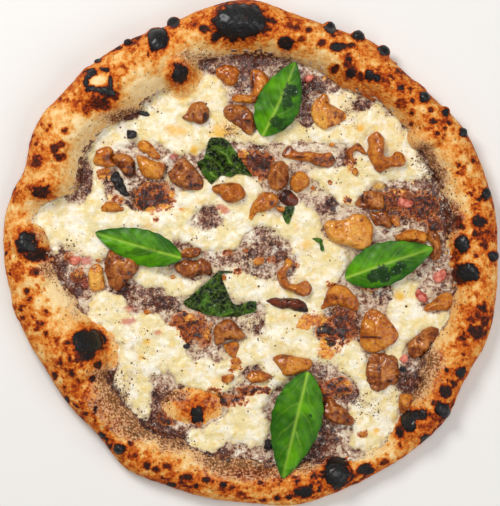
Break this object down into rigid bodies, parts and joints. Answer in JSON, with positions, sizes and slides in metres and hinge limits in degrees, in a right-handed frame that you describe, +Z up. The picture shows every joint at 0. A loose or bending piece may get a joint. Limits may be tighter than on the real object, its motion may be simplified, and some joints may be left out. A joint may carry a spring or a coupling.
{
  "type": "truffle porcini pizza",
  "caption": "Whole wood-fired pizza with an uneven charred rim, truffle cream, melted mozzarella, porcini pieces, scraps of ham and fresh and wilted basil leaves.",
  "frame": {"origin": "middle of the flat underside of the pizza, where it rests", "axes": "+Z up through the pizza, +X to the right and +Y away from the eater, as the pizza is seen from above"},
  "size_m": [0.3171, 0.3242, 0.0298],
  "materials": {
    "crust": "dry baked crust, charred in spots",
    "cheese": "melted, glossy",
    "porcini_pale": "roasted, oiled",
    "porcini_golden": "roasted, oiled",
    "porcini_brown": "roasted, oiled",
    "porcini_dark": "roasted dark, oiled",
    "basil": "fresh leaf, waxy",
    "wilted_basil": "wilted leaf, oily",
    "ham": "moist",
    "burnt_herb": "charred, dull"
  },
  "bodies": {
    "root": {"basil_01": "basil", "basil_02": "basil", "basil_03": "basil", "basil_04": "basil", "burnt_herb_01": "burnt_herb", "burnt_herb_02": "burnt_herb", "burnt_herb_03": "burnt_herb", "ham_01": "ham", "ham_02": "ham", "ham_03": "ham", "ham_04": "ham", "ham_05": "ham", "ham_06": "ham", "porcini_pale_01": "porcini_pale", "porcini_pale_02": "porcini_pale", "porcini_pale_03": "porcini_pale", "porcini_golden_01": "porcini_golden", "porcini_golden_02": "porcini_golden", "porcini_golden_03": "porcini_golden", "porcini_golden_04": "porcini_golden", "porcini_golden_05": "porcini_golden", "porcini_golden_06": "porcini_golden", "porcini_golden_07": "porcini_golden", "porcini_golden_08": "porcini_golden", "porcini_golden_09": "porcini_golden", "porcini_golden_10": "porcini_golden", "porcini_golden_11": "porcini_golden", "porcini_golden_12": "porcini_golden", "porcini_golden_13": "porcini_golden", "porcini_golden_14": "porcini_golden", "porcini_golden_15": "porcini_golden", "porcini_golden_16": "porcini_golden", "porcini_golden_17": "porcini_golden", "porcini_golden_18": "porcini_golden", "porcini_golden_19": "porcini_golden", "porcini_golden_20": "porcini_golden", "porcini_golden_21": "porcini_golden", "porcini_brown_01": "porcini_brown", "porcini_brown_02": "porcini_brown", "porcini_brown_03": "porcini_brown", "porcini_brown_04": "porcini_brown", "porcini_brown_05": "porcini_brown", "porcini_brown_06": "porcini_brown", "porcini_brown_07": "porcini_brown", "porcini_brown_08": "porcini_brown", "porcini_brown_09": "porcini_brown", "porcini_brown_10": "porcini_brown", "porcini_brown_11": "porcini_brown", "porcini_brown_12": "porcini_brown", "porcini_brown_13": "porcini_brown", "porcini_brown_14": "porcini_brown", "porcini_brown_15": "porcini_brown", "porcini_dark_01": "porcini_dark", "porcini_dark_02": "porcini_dark", "wilted_basil_01": "wilted_basil", "wilted_basil_02": "wilted_basil", "wilted_basil_03": "wilted_basil", "dough": "crust", "cheese": "cheese"}
  },
  "joints": []
}
